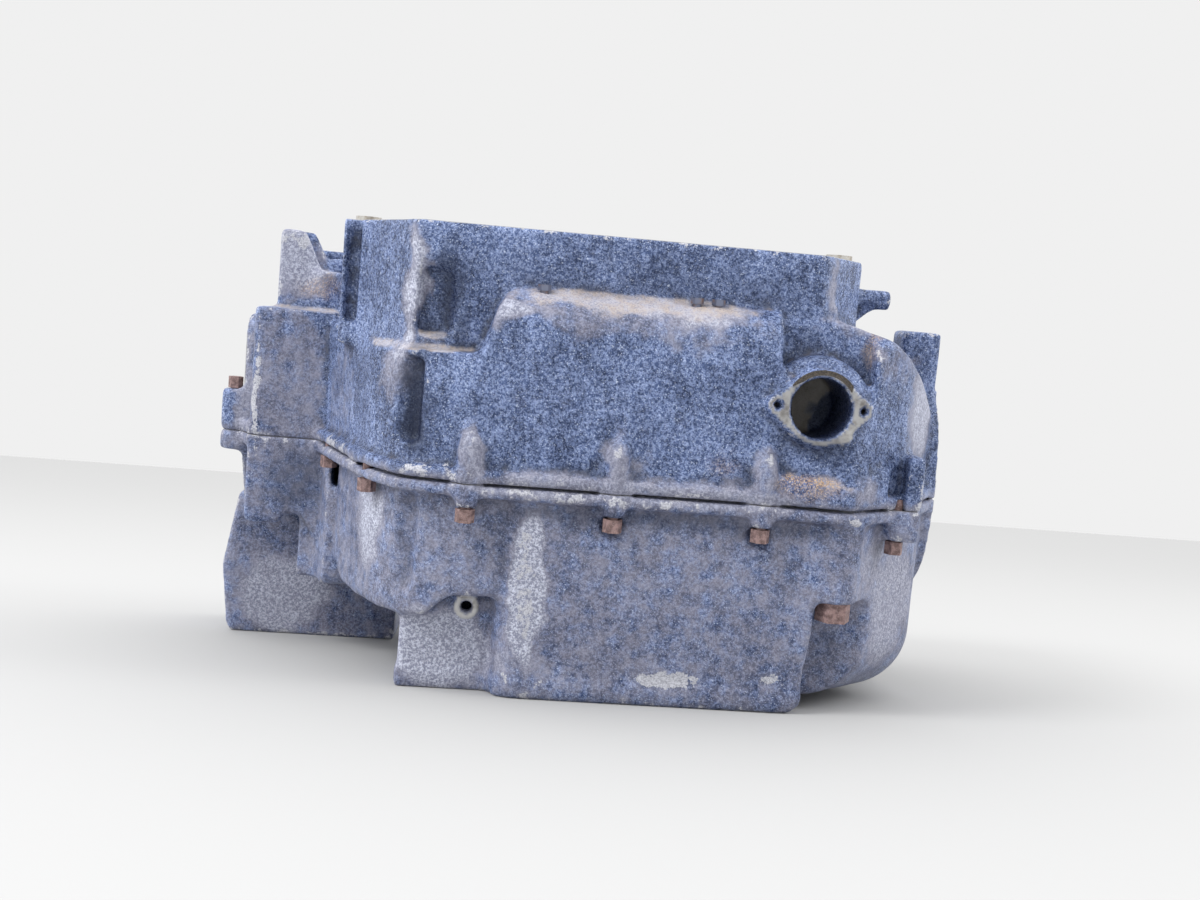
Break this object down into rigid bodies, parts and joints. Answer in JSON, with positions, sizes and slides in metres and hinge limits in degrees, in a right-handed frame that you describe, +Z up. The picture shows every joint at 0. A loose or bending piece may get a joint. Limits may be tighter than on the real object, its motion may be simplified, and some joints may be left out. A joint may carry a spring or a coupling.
{
  "type": "engine crankcase",
  "caption": "Bare horizontally split crankcase of a liquid-cooled inline engine, cylinder block cast with the upper half, black textured paint, worn and rusty.",
  "frame": {"origin": "on the crank axis, midway between the outer main bearings", "axes": "+X along the crank axis to the drive side (right in the picture), +Y to the rear (gearbox side), +Z up, square to the sump face it rests on"},
  "size_m": [0.494, 0.3558, 0.3001],
  "materials": {
    "painted_casting": "black textured paint over cast aluminium, worn at edges",
    "liner_steel": "honed",
    "shell_metal": "satin",
    "dowel_steel": "satin",
    "rusty_steel": "brown rust film",
    "gasket": "torn fibre gasket"
  },
  "bodies": {
    "root": {"case_dowels": "dowel_steel", "corner_seam_bolts": "rusty_steel", "cylinder_liner_1": "liner_steel", "cylinder_liner_2": "liner_steel", "cylinder_liner_3": "liner_steel", "deck_dowels": "dowel_steel", "front_seam_bolts": "rusty_steel", "front_stud_heads": "rusty_steel", "large_corner_bolt": "rusty_steel", "lower_case": "painted_casting", "main_bearing_bolts": "rusty_steel", "main_shell_lower_1": "shell_metal", "main_shell_lower_2": "shell_metal", "main_shell_lower_3": "shell_metal", "main_shell_lower_4": "shell_metal", "main_shell_upper_1": "shell_metal", "main_shell_upper_2": "shell_metal", "main_shell_upper_3": "shell_metal", "main_shell_upper_4": "shell_metal", "port_gasket_remnant": "gasket", "rear_seam_bolts": "rusty_steel", "side_lug_bolt": "rusty_steel", "upper_case": "painted_casting"}
  },
  "joints": []
}
